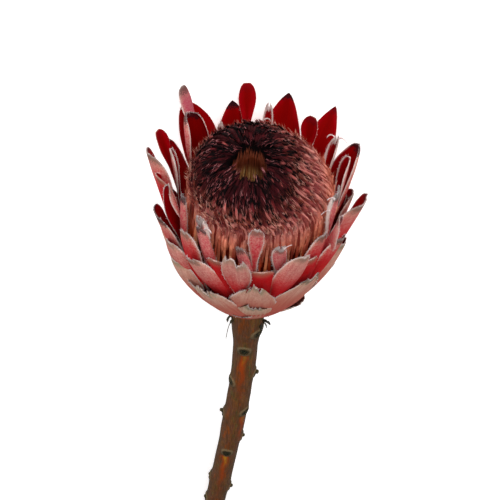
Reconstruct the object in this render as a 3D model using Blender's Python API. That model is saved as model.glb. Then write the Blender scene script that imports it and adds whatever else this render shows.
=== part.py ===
"""A cut protea bloom on its bare woody stem, lying on its back on a flat surface.

The flower is laid out in its own growth frame, in millimetres: Z runs up the head's axis from the joint of
stem and head, X goes to the head's right and Y to its back. A single turn then lays it down in the part's
frame: +Z up, the stem running towards -Y, the bloom facing +Y. Two back bracts and a leaf scar near the
cut end of the stem touch Z = 0.
"""

import math
import random

import bmesh
import bpy
import numpy as np
from mathutils import Matrix

MM = 0.001

# How the flower lies: the head's axis climbs by REST_PITCH, and HEAD_AT is the joint of stem and head.
REST_PITCH = math.radians(7.2)
HEAD_AT = (0.1, 54.8, 31.2)
GROUND_SIZE = 400.0

# Stem, from the head down: the centreline's bend to the left, its radii, and its sides.
STEM_LENGTH = 206.0
STEM_RADIUS = 5.5
STEM_SIDES = 16
STEM_BEND_FROM = 30.0
STEM_BEND_EASE = 60.0
STEM_BEND = 0.10
STEM_LEVELS = 20
STEM_NECK_RADIUS = 7.2
STEM_NECK_LENGTH = 26.0
CUT_SLOPE = 0.35

# Receptacle, the woody top of the stem that carries bracts and florets: (radius, height).
SHOULDER = ((7.2, 0.0), (7.2, 3.3))
RECEPTACLE = ((6.0, 3.9), (9.4, 9.8), (12.2, 15.0))
RECEPTACLE_TOP = (9.0, 16.0)
SEAT_GAP = 0.3
CUP_WALL = 2.2
CUP_SIDES = 36

# Bracts. A kind's width, as a share of the full width, is its neck at the root, grows to the full width
# between two places on its length, and rounds off from a third place to a blunt end:
# (neck, widen from, widen to, taper from, power of the taper's curve, end).
KINDS = {
    "scale": (0.40, 0.0, 0.62, 0.62, 2.0, 0.30),
    "broad": (0.34, 0.0, 0.62, 0.58, 1.7, 0.12),
    "spoon": (0.40, 0.48, 0.80, 0.84, 2.0, 0.28),
}
ROOT_RISE = {"scale": 51.0, "broad": 57.0, "spoon": 55.5}
BLADE_COLUMNS = 2
BLADE_ROWS = {"scale": 4, "broad": 5, "spoon": 5}
BLADE_ROW_CROWDING = 1.5
BLADE_THICKNESS = 0.9
TIP_THINNING = 0.3
SPOON_CURL = 6.0
BEND_REACH = 0.40
ROOT_JITTER = 0.2

# The two outermost rows follow a rule: count, azimuth of the first, root's place on the cup from its foot
# (0) to its rim (1), tip (radius, height), width, elevation of the tip's direction, and the random spread of
# azimuth and tip.
OUTER_ROWS = (
    (7, 214.0, 0.06, (26.6, 33.0), 17.0, 56, 5.0, 1.4),
    (9, 271.0, 0.18, (32.6, 47.0), 19.0, 68, 4.0, 1.6),
)
ROOT_STAGGER = 0.06
LEAN_SPREAD = 6.0

# The other bracts are set one by one, going round the head: tip's azimuth, sideways lean from root to tip
# (degrees), tip (radius, height), width, elevation of the tip's direction (degrees). Neighbours grow by
# turns from two levels of the cup.
MIDDLE_ROOTS = (0.30, 0.40)
MIDDLE = (
    (18, 3, 37.0, 61, 17.0, 78),
    (57, -4, 37.0, 64, 17.0, 78),
    (93, 3, 36.6, 60, 17.0, 78),
    (131, -2, 37.2, 63, 17.0, 78),
    (166, 4, 36.8, 60, 16.0, 78),
    (193, -8, 36.4, 59, 16.0, 78),
    (218, -10, 36.4, 57, 16.0, 76),
    (247, -12, 36.0, 56, 17.0, 76),
    (277, 3, 37.0, 63, 18.0, 80),
    (308, 10, 36.6, 60, 17.0, 78),
    (343, 8, 36.8, 60, 16.0, 78),
)
BROAD_ROOTS = (0.52, 0.66)
BROAD = (
    (12, 4, 42.0, 76, 15.0, 76),
    (28, 8, 43.5, 82, 13.0, 70),
    (56, 4, 50.3, 82.5, 13.5, 62),
    (77, 0, 43.0, 87, 15.0, 74),
    (106, 2, 39.5, 84, 14.0, 78),
    (126, 3, 51.0, 79.5, 15.5, 60),
    (148, -4, 43.5, 75, 14.0, 70),
    (166, -6, 42.5, 82, 14.0, 70),
    (198, -10, 38.4, 71, 14.0, 76),
    (214, -6, 38.0, 66, 13.0, 80),
    (229, -4, 36.4, 80, 12.0, 84),
    (235, -24, 38.6, 70, 15.0, 74),
    (262, 0, 38.8, 79, 15.0, 82),
    (297, 10, 39.0, 79, 15.0, 82),
    (316, 5, 35.4, 80, 12.0, 86),
    (328, 12, 38.6, 73, 14.0, 78),
    (355, 14, 40.5, 79, 15.0, 74),
)
SPOON_ROOTS = (0.80, 0.94)
SPOONS = (
    (19, 4, 34.8, 84, 7.0, 84),
    (37, 4, 34.4, 84, 6.0, 84),
    (57, 2, 36.0, 86, 7.0, 78),
    (86, 0, 35.5, 85, 5.0, 84),
    (99, 0, 42.0, 91, 7.0, 68),
    (117, 4, 36.5, 86, 6.5, 78),
    (130, 4, 49.0, 91, 7.0, 56),
    (136, 0, 38.0, 89, 8.0, 74),
    (153, -2, 40.5, 86, 6.5, 70),
    (163, -4, 35.0, 83, 6.0, 80),
    (181, -3, 33.0, 80, 5.5, 86),
    (197, -4, 32.0, 84, 6.5, 90),
    (217, -6, 33.0, 76, 5.5, 88),
    (233, -14, 33.6, 83, 6.5, 86),
    (246, -4, 32.5, 78, 6.0, 90),
    (262, -16, 33.6, 78, 6.5, 84),
    (272, 1, 32.2, 88.5, 6.5, 90),
    (286, -8, 33.2, 79, 6.0, 84),
    (304, 4, 32.5, 77, 6.0, 90),
    (324, 2, 35.4, 83, 6.5, 84),
    (341, 4, 34.0, 79, 6.0, 86),
)

# Floret mass, a core that the florets stand out of: (radius, height), then the hollow at its crown. The core
# leans a little to the right, and its crown is set off centre and tilts towards the front.
FLORET_CORE = (
    (11.0, 16.3), (14.0, 20.0), (18.0, 27.0), (21.4, 35.0), (24.4, 45.0), (26.4, 55.0),
    (27.1, 65.0), (26.5, 75.0), (23.6, 83.5), (18.2, 89.2), (13.0, 91.8), (9.6, 92.2),
)
CORE_SIDES = 36
CORE_LEAN = 1.5
CROWN_OFFSET = (-4.6, -3.0)
CROWN_FROM = 78.0
CROWN_TILT = 0.23
HOLLOW_RADIUS = 7.6
HOLLOW_LIP = 1.5
HOLLOW_FLOOR = 72.0

# Free ends of the florets, in rows up the core from its fifth level: three-sided spindles, each given as
# sections (place on its length, lift off the core, share of its width).
TIPS_FROM_LEVEL = 4
TIP_ROWS = 8
TIPS_ROUND = 27
TIPS_ROUND_LOSS = 0.38
TIP_LENGTH = 10.0
TIP_LENGTH_SPREAD = (0.9, 1.12)
TIP_WIDTH = 2.3
TIP_DEPTH = 0.6
TIP_RISE = 1.7
TIP_SECTIONS = ((-0.05, -0.9, 0.7), (0.5, 0.75, 1.0), (1.0, 1.0, 0.0))

# Pale inner florets: a ring of slim ribs that lines the hollow.
INNER_COUNT = 18
INNER_WALL = 1.5
INNER_RIB = 0.6
INNER_TOP = 82.0
INNER_TILT = 0.55
INNER_TIP_RISE = 3.0

# Leaf scars on the stem: distance down the stem, azimuth, length of the dry stub on it.
LEAF_SCARS = (
    (12, 20, 0.6), (14, 140, 0.8), (19, 318, 0.9), (30, 266, 0.7), (36, 96, 0.8), (46, 352, 2.2),
    (54, 196, 1.4), (68, 70, 0.8), (82, 174, 2.4), (88, 318, 0.8), (99, 112, 0.9), (105, 356, 1.8),
    (126, 262, 0.8), (140, 60, 1.2), (151, 150, 0.9), (159, 352, 2.0), (174, 186, 1.4), (186, 284, 0.8),
    (196, 70, 0.9),
)
SCAR_RADIUS = 2.5
SCAR_SIDES = 7

# Dry shreds of bark under the head: distance down the stem, azimuth, length.
BARK_SHREDS = ((6, 186, 9.0), (9, 350, 5.0), (11, 172, 4.0), (5, 12, 4.5))
SHRED_LEVELS = 5
SHRED_HALF_WIDTH = 0.75

# Materials of the nodes: base colour, roughness. Edges sharper than SHARP_ANGLE stay sharp.
SHARP_ANGLE = math.radians(40)
LOOKS = {
    "stem": ((0.24, 0.10, 0.045), 0.65),
    "bracts": ((0.55, 0.16, 0.15), 0.7),
    "florets": ((0.16, 0.035, 0.04), 0.8),
    "inner_florets": ((0.42, 0.24, 0.10), 0.75),
}


def smooth_step(value):
    value = min(max(value, 0.0), 1.0)
    return value * value * (3 - 2 * value)


def unit(vector):
    return vector / np.linalg.norm(vector)


def polar(radius, angle, height=0.0):
    """Point at a radius and an angle round the Z axis, at a height."""
    return np.array((radius * math.cos(angle), radius * math.sin(angle), height))


def circle(centre, radius, sides):
    return [np.array(centre) + polar(radius, 2 * math.pi * i / sides) for i in range(sides)]


def new_collection(name):
    made = bpy.data.collections.new(name)
    bpy.context.scene.collection.children.link(made)
    return made


def make_object(name, points, faces, collection=None):
    mesh = bpy.data.meshes.new(name)
    mesh.from_pydata([tuple(p) for p in points], [], faces)
    mesh.update()
    made = bpy.data.objects.new(name, mesh)
    (collection or bpy.context.scene.collection).objects.link(made)
    return made


def stack_rings(rings):
    """Closes a stack of equal rings, from the lowest to the highest, with a fan of triangles at each end."""
    sides = len(rings[0])
    points = [p for ring in rings for p in ring] + [np.mean(rings[0], axis=0), np.mean(rings[-1], axis=0)]
    foot_hub, top_hub = len(points) - 2, len(points) - 1
    top = (len(rings) - 1) * sides
    faces = []
    for i in range(sides):
        j = (i + 1) % sides
        for here in range(0, top, sides):
            faces.append((here + i, here + j, here + sides + j, here + sides + i))
        faces.append((j, i, foot_hub))
        faces.append((top + i, top + j, top_hub))
    return points, faces


def touching_faces(face):
    """The faces that share an edge with a face, where just two faces meet."""
    return {near for edge in face.edges if len(edge.link_faces) == 2 for near in edge.link_faces}


def keep_main_body(mesh):
    """Fills the pockets that a union seals and drops its loose scraps: only the biggest body stays."""
    solid = bmesh.new()
    solid.from_mesh(mesh)
    bodies, seen = [], set()
    for face in solid.faces:
        if face in seen:
            continue
        body, waiting = [face], [face]
        seen.add(face)
        while waiting:
            found = touching_faces(waiting.pop()) - seen
            seen |= found
            body += found
            waiting += found
        bodies.append(body)
    bodies.sort(key=len)
    for body in bodies[:-1]:
        bmesh.ops.delete(solid, geom=body, context="FACES")
    solid.to_mesh(mesh)
    solid.free()


def combine(body, collection, operation):
    """Applies one Boolean of the body with every object of the collection, which is then removed."""
    boolean = body.modifiers.new(operation, "BOOLEAN")
    boolean.operation = operation
    boolean.operand_type = "COLLECTION"
    boolean.collection = collection
    graph = bpy.context.evaluated_depsgraph_get()
    combined = bpy.data.meshes.new_from_object(body.evaluated_get(graph))
    body.modifiers.clear()
    body.data = combined
    keep_main_body(body.data)
    for piece in list(collection.objects):
        bpy.data.objects.remove(piece)
    bpy.data.collections.remove(collection)


def stem_centre(down):
    """Place of the stem's centreline at a distance below the head: straight at first, then bending left."""
    past = max(down - STEM_BEND_FROM, 0.0)
    return np.array((-STEM_BEND * past * past / (past + STEM_BEND_EASE), 0.0, -down))


def stem_radius(down):
    """The stem wavers a little in girth and swells towards its neck under the head."""
    neck = 1 - smooth_step(down / STEM_NECK_LENGTH)
    waver = 0.12 * math.sin(down / 11.0) + 0.08 * math.sin(down / 4.7)
    return STEM_RADIUS + waver * (1 - neck) + (STEM_NECK_RADIUS - STEM_RADIUS) * neck


def stem_ring(down):
    """A round section of the stem, slanted at the cut end."""
    centre = stem_centre(down)
    ring = circle(centre, stem_radius(down), STEM_SIDES)
    if down == STEM_LENGTH:
        ring = [p + (0, 0, CUT_SLOPE * (p[1] - 0.4 * (p[0] - centre[0]))) for p in ring]
    return ring


def leaf_scar(down, azimuth, stub, collection):
    """A low cushion on the stem where a leaf grew, with the dry stub of its stalk."""
    angle = math.radians(azimuth)
    outward, side, up = polar(1, angle), polar(1, angle + math.pi / 2), np.array((0.0, 0.0, 1.0))
    skin = stem_centre(down) + outward * stem_radius(down)
    rings = []
    for out, share, rise in ((-1.6, 1.0, 0.0), (0.7, 0.75, 0.3), (1.0 + stub, 0.2, 0.9 + 0.4 * stub)):
        ring = []
        for i in range(SCAR_SIDES):
            turn = 2 * math.pi * i / SCAR_SIDES
            around = side * math.cos(turn) + 0.85 * up * math.sin(turn)
            ring.append(skin + outward * out + up * rise + SCAR_RADIUS * share * around)
        rings.append(ring)
    make_object("scar", *stack_rings(rings), collection)


def bark_shred(down, azimuth, length, collection):
    """A dry strip of torn bark under the head, curling out and down."""
    angle = math.radians(azimuth)
    outward, side = polar(1, angle), polar(1, angle + math.pi / 2)
    root = stem_centre(down) + outward * (stem_radius(down) - 1.2)
    rings = []
    for t in np.linspace(0, 1, SHRED_LEVELS):
        centre = root + outward * (1.4 + 2.6 * math.sin(2.2 * t)) + (0, 0, 1.2 * t - length * t * t)
        size = SHRED_HALF_WIDTH * (1 - 0.6 * t)
        rings.append([centre + size * way for way in (side, 0.8 * outward, -side, -outward)])
    make_object("shred", *stack_rings(rings), collection)


def build_stem():
    """The stem from its cut end to the top of the receptacle, with its scars, stubs and shreds."""
    levels = np.concatenate((np.linspace(STEM_LENGTH, 36, STEM_LEVELS - 5), np.linspace(28, 3, 5)))
    rings = [stem_ring(down) for down in levels]
    for radius, height in SHOULDER + RECEPTACLE + (RECEPTACLE_TOP,):
        rings.append(circle((0, 0, height), radius, STEM_SIDES))
    stem = make_object("stem", *stack_rings(rings))
    collection = new_collection("stem details")
    for scar in LEAF_SCARS:
        leaf_scar(*scar, collection)
    for shred in BARK_SHREDS:
        bark_shred(*shred, collection)
    combine(stem, collection, "UNION")
    return stem


def blade_width(kind, along):
    """Share of the full width at a place from root (0) to tip (1)."""
    neck, widen_from, widen_to, taper_from, power, end = KINDS[kind]
    body = neck + (1 - neck) * smooth_step((along - widen_from) / (widen_to - widen_from))
    past = max((along - taper_from) / (1 - taper_from), 0.0)
    return body * (1 - (1 - end ** power) * past ** power) ** (1 / power)


def blade_line(root, tip, root_rise, tip_rise, azimuth, lean):
    """A bract's centreline from root to tip: a Bezier curve of radius and height, turned by its azimuth."""
    reach = BEND_REACH * math.dist(root, tip)
    after_root = root + reach * np.array((math.cos(root_rise), math.sin(root_rise)))
    before_tip = tip - reach * np.array((math.cos(tip_rise), math.sin(tip_rise)))

    def place(t):
        s = 1 - t
        ends = s ** 3 * root + t ** 3 * tip
        radius, height = ends + 3 * s * s * t * after_root + 3 * s * t * t * before_tip
        return polar(radius, math.radians(azimuth - lean * s ** 1.5), height)

    return place


def blade_faces(rows, columns, count):
    """Faces of a blade: the grid of its outer face, the same on its inner face, and the rim between them."""
    faces = []
    for row in range(rows):
        for column in range(columns):
            a = row * (columns + 1) + column
            b, d = a + 1, a + columns + 1
            c = d + 1
            faces += [(a, b, c), (a, c, d)]
            faces += [(c + count, b + count, a + count), (d + count, c + count, a + count)]
    wide = columns + 1
    right = [row * wide + columns for row in range(1, rows + 1)]
    top = [rows * wide + column for column in range(columns - 1, -1, -1)]
    left = [row * wide for row in range(rows - 1, 0, -1)]
    border = list(range(wide)) + right + top + left
    for a, b in zip(border, border[1:] + border[:1]):
        faces += [(b, a, a + count), (b, a + count, b + count)]
    return faces


def make_blade(kind, place, width, collection):
    """One bract: sections across its centreline, arched round the head's axis, thinner towards the tip."""
    rows = BLADE_ROWS[kind]
    outer, inner = [], []
    for row in range(rows + 1):
        t = 1 - (1 - row / rows) ** BLADE_ROW_CROWDING
        centre = place(t)
        radius = math.hypot(centre[0], centre[1])
        along = unit(place(min(t + 0.01, 1.0)) - place(max(t - 0.01, 0.0)))
        side = np.array((-centre[1], centre[0], 0.0)) / radius
        side = unit(side - along * side.dot(along))
        outward = np.cross(side, along)
        half_width = 0.5 * width * blade_width(kind, t)
        curl = radius * (1 - t) + SPOON_CURL * t if kind == "spoon" else radius
        half_thick = 0.5 * BLADE_THICKNESS * (1 - TIP_THINNING * t)
        for across in np.linspace(-1, 1, BLADE_COLUMNS + 1):
            angle = across * half_width / curl
            normal = outward * math.cos(angle) + side * math.sin(angle)
            middle = centre + curl * (side * math.sin(angle) - outward * (1 - math.cos(angle)))
            outer.append(middle + normal * half_thick)
            inner.append(middle - normal * half_thick)
    make_object(kind, outer + inner, blade_faces(rows, BLADE_COLUMNS, len(outer)), collection)


def cup_wall(outward):
    """The cup's side at foot, middle and rim: the receptacle's side moved outward, its foot lifted clear."""
    (foot, low), *upper = RECEPTACLE
    lifted = (foot + outward, low + SEAT_GAP + 0.25 * outward)
    return [lifted] + [(radius + outward, height) for radius, height in upper]


def cup_root(share):
    """A place in the middle of the cup's wall, from its foot (0) to its rim (1)."""
    middle = np.array(cup_wall(SEAT_GAP + CUP_WALL / 2))
    place = share * (len(middle) - 1)
    return np.array([np.interp(place, range(len(middle)), middle[:, k]) for k in (0, 1)])


def build_cup():
    """The thin ring that the bracts' roots make together, round the receptacle."""
    section = cup_wall(SEAT_GAP) + cup_wall(SEAT_GAP + CUP_WALL)[::-1]
    points, faces = [], []
    for radius, height in section:
        points += circle((0, 0, height), radius, CUP_SIDES)
    for level in range(len(section)):
        here, there = level * CUP_SIDES, (level + 1) % len(section) * CUP_SIDES
        for i in range(CUP_SIDES):
            j = (i + 1) % CUP_SIDES
            faces.append((here + j, here + i, there + i, there + j))
    return make_object("bracts", points, faces)


def build_bracts():
    """All the bracts, on the cup that carries them."""
    cup = build_cup()
    collection = new_collection("blades")
    draw = random.Random(7)

    def add(kind, share, tip, tip_rise, azimuth, lean, width):
        root = cup_root(share) + [draw.uniform(-ROOT_JITTER, ROOT_JITTER) for _ in range(2)]
        rises = math.radians(ROOT_RISE[kind]), math.radians(tip_rise)
        make_blade(kind, blade_line(root, np.array(tip), *rises, azimuth, lean), width, collection)

    for count, first, share, tip, width, tip_rise, swing, spread in OUTER_ROWS:
        for i in range(count):
            azimuth = first + 360 * i / count + draw.uniform(-swing, swing)
            end = (tip[0] + draw.uniform(-spread, spread) * 0.4, tip[1] + draw.uniform(-spread, spread))
            lean = draw.uniform(-LEAN_SPREAD, LEAN_SPREAD)
            add("scale", share + ROOT_STAGGER * (i % 2), end, tip_rise, azimuth, lean, width)
    rows = (("scale", MIDDLE_ROOTS, MIDDLE), ("broad", BROAD_ROOTS, BROAD), ("spoon", SPOON_ROOTS, SPOONS))
    for kind, shares, bracts in rows:
        for i, (azimuth, lean, radius, height, width, tip_rise) in enumerate(bracts):
            add(kind, shares[i % 2], (radius, height), tip_rise, azimuth, lean, width)
    combine(cup, collection, "UNION")
    return cup


def core_point(radius, height, angle):
    """A point on a level of the core, which leans as it climbs, and tilts and shifts towards its crown."""
    foot, top = FLORET_CORE[0][1], FLORET_CORE[-1][1]
    lean = CORE_LEAN * smooth_step((height - foot) / (CROWN_FROM - foot))
    crown = smooth_step((height - CROWN_FROM) / (top - CROWN_FROM))
    shift = (lean + crown * CROWN_OFFSET[0], crown * CROWN_OFFSET[1], 0.0)
    return polar(radius, angle, height + crown * CROWN_TILT * radius * math.sin(angle)) + shift


def crown_ring(radius, height, tilt, sides=CORE_SIDES):
    """A ring round the middle of the crown, tilting towards the front."""
    centre = (CORE_LEAN + CROWN_OFFSET[0], CROWN_OFFSET[1], height)
    return [p + (0, 0, tilt * (p[1] - centre[1])) for p in circle(centre, radius, sides)]


def floret_tip(row_share, angle, draw, collection):
    """One floret's free end: a spindle that leaves the core and runs up it towards the crown."""
    path = np.array(FLORET_CORE[TIPS_FROM_LEVEL:])
    steps = np.concatenate(((0.0,), np.cumsum(np.linalg.norm(np.diff(path, axis=0), axis=1))))

    def on_core(distance):
        radius, height = (np.interp(distance, steps, path[:, k]) for k in (0, 1))
        return core_point(radius - max(distance - steps[-1], 0.0), height + min(distance, 0.0), angle)

    start = row_share * (steps[-1] - 0.72 * TIP_LENGTH)
    length = TIP_LENGTH * draw.uniform(*TIP_LENGTH_SPREAD)
    side = polar(1, angle + math.pi / 2)
    rings = []
    for along, lift, size in TIP_SECTIONS:
        here = start + along * length
        out = np.cross(side, unit(on_core(here + 1.0) - on_core(here - 1.0)))
        centre = on_core(here) + out * lift * TIP_RISE
        half = size * TIP_WIDTH / 2
        foot = centre - out * half * TIP_DEPTH
        rings.append([foot - side * half, foot + side * half, centre + out * half])
    points = rings[0] + rings[1] + [rings[2][0]]
    faces = [(0, 1, 2), (4, 3, 6), (5, 4, 6), (3, 5, 6)]
    faces += [(j, i, i + 3, j + 3) for i, j in ((0, 1), (1, 2), (2, 0))]
    make_object("tip", points, faces, collection)


def build_florets():
    """The dense floret mass: a core with a hollow crown, and rows of free floret ends that stand out."""
    angles = [2 * math.pi * i / CORE_SIDES for i in range(CORE_SIDES)]
    rings = [[core_point(radius, height, angle) for angle in angles] for radius, height in FLORET_CORE]
    rings.append(crown_ring(HOLLOW_RADIUS, FLORET_CORE[-1][1] - HOLLOW_LIP, CROWN_TILT))
    rings.append(crown_ring(HOLLOW_RADIUS, HOLLOW_FLOOR, 0.0))
    florets = make_object("florets", *stack_rings(rings))
    collection = new_collection("tips")
    draw = random.Random(11)
    for row in range(TIP_ROWS):
        share = row / (TIP_ROWS - 1)
        count = round(TIPS_ROUND * (1 - TIPS_ROUND_LOSS * share ** 2))
        for i in range(count):
            angle = 2 * math.pi * (i + 0.5 * (row % 2)) / count + draw.uniform(-0.03, 0.03)
            floret_tip(min(max(share + draw.uniform(-0.025, 0.025), 0), 1), angle, draw, collection)
    combine(florets, collection, "UNION")
    return florets


def build_inner_florets():
    """The pale inner florets: a ribbed lining of the hollow, whose ribs end in free points."""
    sides = 2 * INNER_COUNT
    outer, floor = HOLLOW_RADIUS - SEAT_GAP, HOLLOW_FLOOR + SEAT_GAP
    wall = outer - INNER_WALL

    def ribbed(radius, height, rib, rise, tilt):
        """A crown ring whose every second point is pulled in by a rib and raised to a point."""
        ring = crown_ring(radius, height, tilt, sides)
        ribs = crown_ring(radius - rib, height + rise, tilt, sides)
        return [ribs[i] if i % 2 else ring[i] for i in range(sides)]

    rings = [
        crown_ring(outer, floor, 0.0, sides),
        ribbed(outer, INNER_TOP, 0.0, INNER_TIP_RISE, INNER_TILT),
        ribbed(wall, INNER_TOP, INNER_RIB, INNER_TIP_RISE, INNER_TILT),
        ribbed(wall, floor + INNER_WALL, INNER_RIB, 0.0, 0.0),
    ]
    return make_object("inner_florets", *stack_rings(rings))


def lay_down(made):
    """Turns a solid into its lying place and cuts off what would sink below Z = 0, leaving small flats."""
    made.data.transform(Matrix.Translation(HEAD_AT) @ Matrix.Rotation(REST_PITCH - math.pi / 2, 4, "X"))
    collection = new_collection("ground")
    square = [polar(GROUND_SIZE, math.pi * (i + 0.5) / 2) for i in range(4)]
    below = [p - (0, 0, GROUND_SIZE) for p in square]
    make_object("ground", *stack_rings([below, square]), collection)
    combine(made, collection, "DIFFERENCE")
    made.data.transform(Matrix.Scale(MM, 4))


def finish(made):
    """Gives a solid its lying place, outward faces, smooth shading and its own material."""
    lay_down(made)
    mesh = bmesh.new()
    mesh.from_mesh(made.data)
    bmesh.ops.triangulate(mesh, faces=mesh.faces[:])
    bmesh.ops.recalc_face_normals(mesh, faces=mesh.faces[:])
    mesh.to_mesh(made.data)
    mesh.free()
    made.data.shade_smooth()
    made.data.set_sharp_from_angle(angle=SHARP_ANGLE)
    colour, roughness = LOOKS[made.name]
    material = bpy.data.materials.new(made.name)
    material.use_nodes = True
    shader = material.node_tree.nodes["Principled BSDF"]
    shader.inputs["Base Color"].default_value = (*colour, 1)
    shader.inputs["Roughness"].default_value = roughness
    shader.inputs["Metallic"].default_value = 0.0
    made.data.materials.clear()
    made.data.materials.append(material)


def main():
    for old in list(bpy.data.objects):
        bpy.data.objects.remove(old)
    for build in (build_stem, build_bracts, build_florets, build_inner_florets):
        finish(build())


main()
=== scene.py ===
import math
import random

import bpy
import numpy as np
from mathutils import Matrix


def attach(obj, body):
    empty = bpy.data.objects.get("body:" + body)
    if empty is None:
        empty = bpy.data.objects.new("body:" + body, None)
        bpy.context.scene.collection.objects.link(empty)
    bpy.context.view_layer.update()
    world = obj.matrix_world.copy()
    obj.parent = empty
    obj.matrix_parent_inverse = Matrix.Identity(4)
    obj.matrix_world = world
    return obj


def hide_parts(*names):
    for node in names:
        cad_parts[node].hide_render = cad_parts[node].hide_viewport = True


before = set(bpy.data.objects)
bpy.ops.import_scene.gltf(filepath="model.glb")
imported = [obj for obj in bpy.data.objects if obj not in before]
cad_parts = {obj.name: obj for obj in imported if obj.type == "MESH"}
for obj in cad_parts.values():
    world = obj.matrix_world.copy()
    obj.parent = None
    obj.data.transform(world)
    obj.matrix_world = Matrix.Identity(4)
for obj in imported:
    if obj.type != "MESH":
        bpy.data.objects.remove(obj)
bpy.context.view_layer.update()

# Every shape is worked out in the bloom's growth frame, in millimetres: Z up the head's axis from the joint
# of stem and head, X to the head's right, Y to its back. layDown puts it into the part's frame, in metres.
millimetre = 0.001
lying = {"pitch": math.radians(7.2), "headAt": (0.1, 54.8, 31.2), "pressed": 0.35}


def together(*values):
    # Coordinates, each an array or one number, as one array of points
    return np.stack(np.broadcast_arrays(*values), axis=-1)


def layDown(points):
    # A turn about X by pitch - 90 degrees, then a move; what would sink is pressed softly onto the surface
    turn = lying["pitch"] - math.pi / 2
    right, back, up = lying["headAt"]
    x, y, z = np.moveaxis(np.asarray(points, float), -1, 0)
    ahead = math.cos(turn) * y - math.sin(turn) * z + back
    height = math.sin(turn) * y + math.cos(turn) * z + up
    height = np.logaddexp(0, height / lying["pressed"]) * lying["pressed"]
    return together(x + right, ahead, height) * millimetre


def smoothStep(low, high, value):
    share = np.clip((value - low) / (high - low), 0, 1)
    return share * share * (3 - 2 * share)


def unit(vectors):
    return vectors / np.maximum(np.linalg.norm(vectors, axis=-1, keepdims=True), 1e-9)


def turns(sides):
    return np.arange(sides) * 2 * np.pi / sides


def polar(radius, angle, height):
    # Points at a radius and an angle round the head's axis, at a height
    return together(radius * np.cos(angle), radius * np.sin(angle), height)


def pathSteps(path):
    # The distance along a path at each of its points
    return np.append(0, np.cumsum(np.linalg.norm(np.diff(path, axis=0), axis=1)))


def waver(values, seed, pace=1.0):
    # Smooth noise from about -1 to 1: four sines, each faster and weaker, with seeded phases
    phases = np.random.default_rng(seed).uniform(0, 2 * np.pi, 4)
    return sum(np.sin(values * pace * 2.1 ** k + phases[k]) / 1.5 ** k for k in range(4)) / 2.4


def gridFaces(rows, columns, closed=False):
    # Quads of a grid of points, row after row; a closed grid joins its last column to its first
    wide = columns if closed else columns + 1
    row, column = np.meshgrid(np.arange(rows), np.arange(columns), indexing="ij")
    here = (row * wide + column).ravel()
    beside = (row * wide + (column + 1) % wide).ravel()
    return np.stack((here, beside, beside + wide, here + wide), axis=1)


def capFaces(rings, sides):
    # Fans that close a stack of rings: its first ring to the point that follows the rings, its last ring to
    # the point after that
    here = np.arange(sides)
    beside = (here + 1) % sides
    top, hub = (rings - 1) * sides, np.full(sides, rings * sides)
    return np.stack((beside, here, hub), axis=1), np.stack((here + top, beside + top, hub + 1), axis=1)


def closedTurn(rings):
    # A stack of rings of points as a closed body: all its points, its walls, and the fans at foot and top
    count, sides = rings.shape[:2]
    points = np.concatenate((rings.reshape(-1, 3), (rings[0].mean(0), rings[-1].mean(0))))
    return points, gridFaces(count - 1, sides, closed=True), *capFaces(count, sides)


def strandPart(paths, out, width, depth, sides, **layers):
    # Tubes along paths (n, stops, 3): an ellipse at every stop but the last, and a point at the last. width
    # and depth are half sizes, out is the direction of the depth, and a layer has a value for each stop.
    shape = paths.shape[:2]
    width, depth = np.broadcast_to(width, shape), np.broadcast_to(depth, shape)
    along = unit(np.gradient(paths, axis=1))
    side = unit(np.cross(along, out))
    out = np.cross(side, along)
    across = side[:, :-1, None] * np.cos(turns(sides))[:, None] * width[:, :-1, None, None]
    deep = out[:, :-1, None] * np.sin(turns(sides))[:, None] * depth[:, :-1, None, None]
    count, rings = shape[0], shape[1] - 1
    tubes = (paths[:, :-1, None] + across + deep).reshape(count, rings * sides, 3)
    points = np.concatenate((tubes, paths[:, :1], paths[:, -1:]), axis=1)
    fans = np.concatenate(capFaces(rings, sides))[:, (1, 0, 2)]
    walls = gridFaces(rings - 1, sides, closed=True)[:, ::-1]
    starts = np.arange(count)[:, None, None] * points.shape[1]
    faces = [(starts + group).reshape(-1, group.shape[1]) for group in (fans, walls)]
    for key, values in layers.items():
        values = np.broadcast_to(values, shape + np.shape(values)[2:])
        ends = (values[:, :1], values[:, -1:])
        layers[key] = np.concatenate((values[:, :-1].repeat(sides, axis=1), *ends), axis=1)
    return {"points": points, "faces": faces, "layers": layers}


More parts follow.
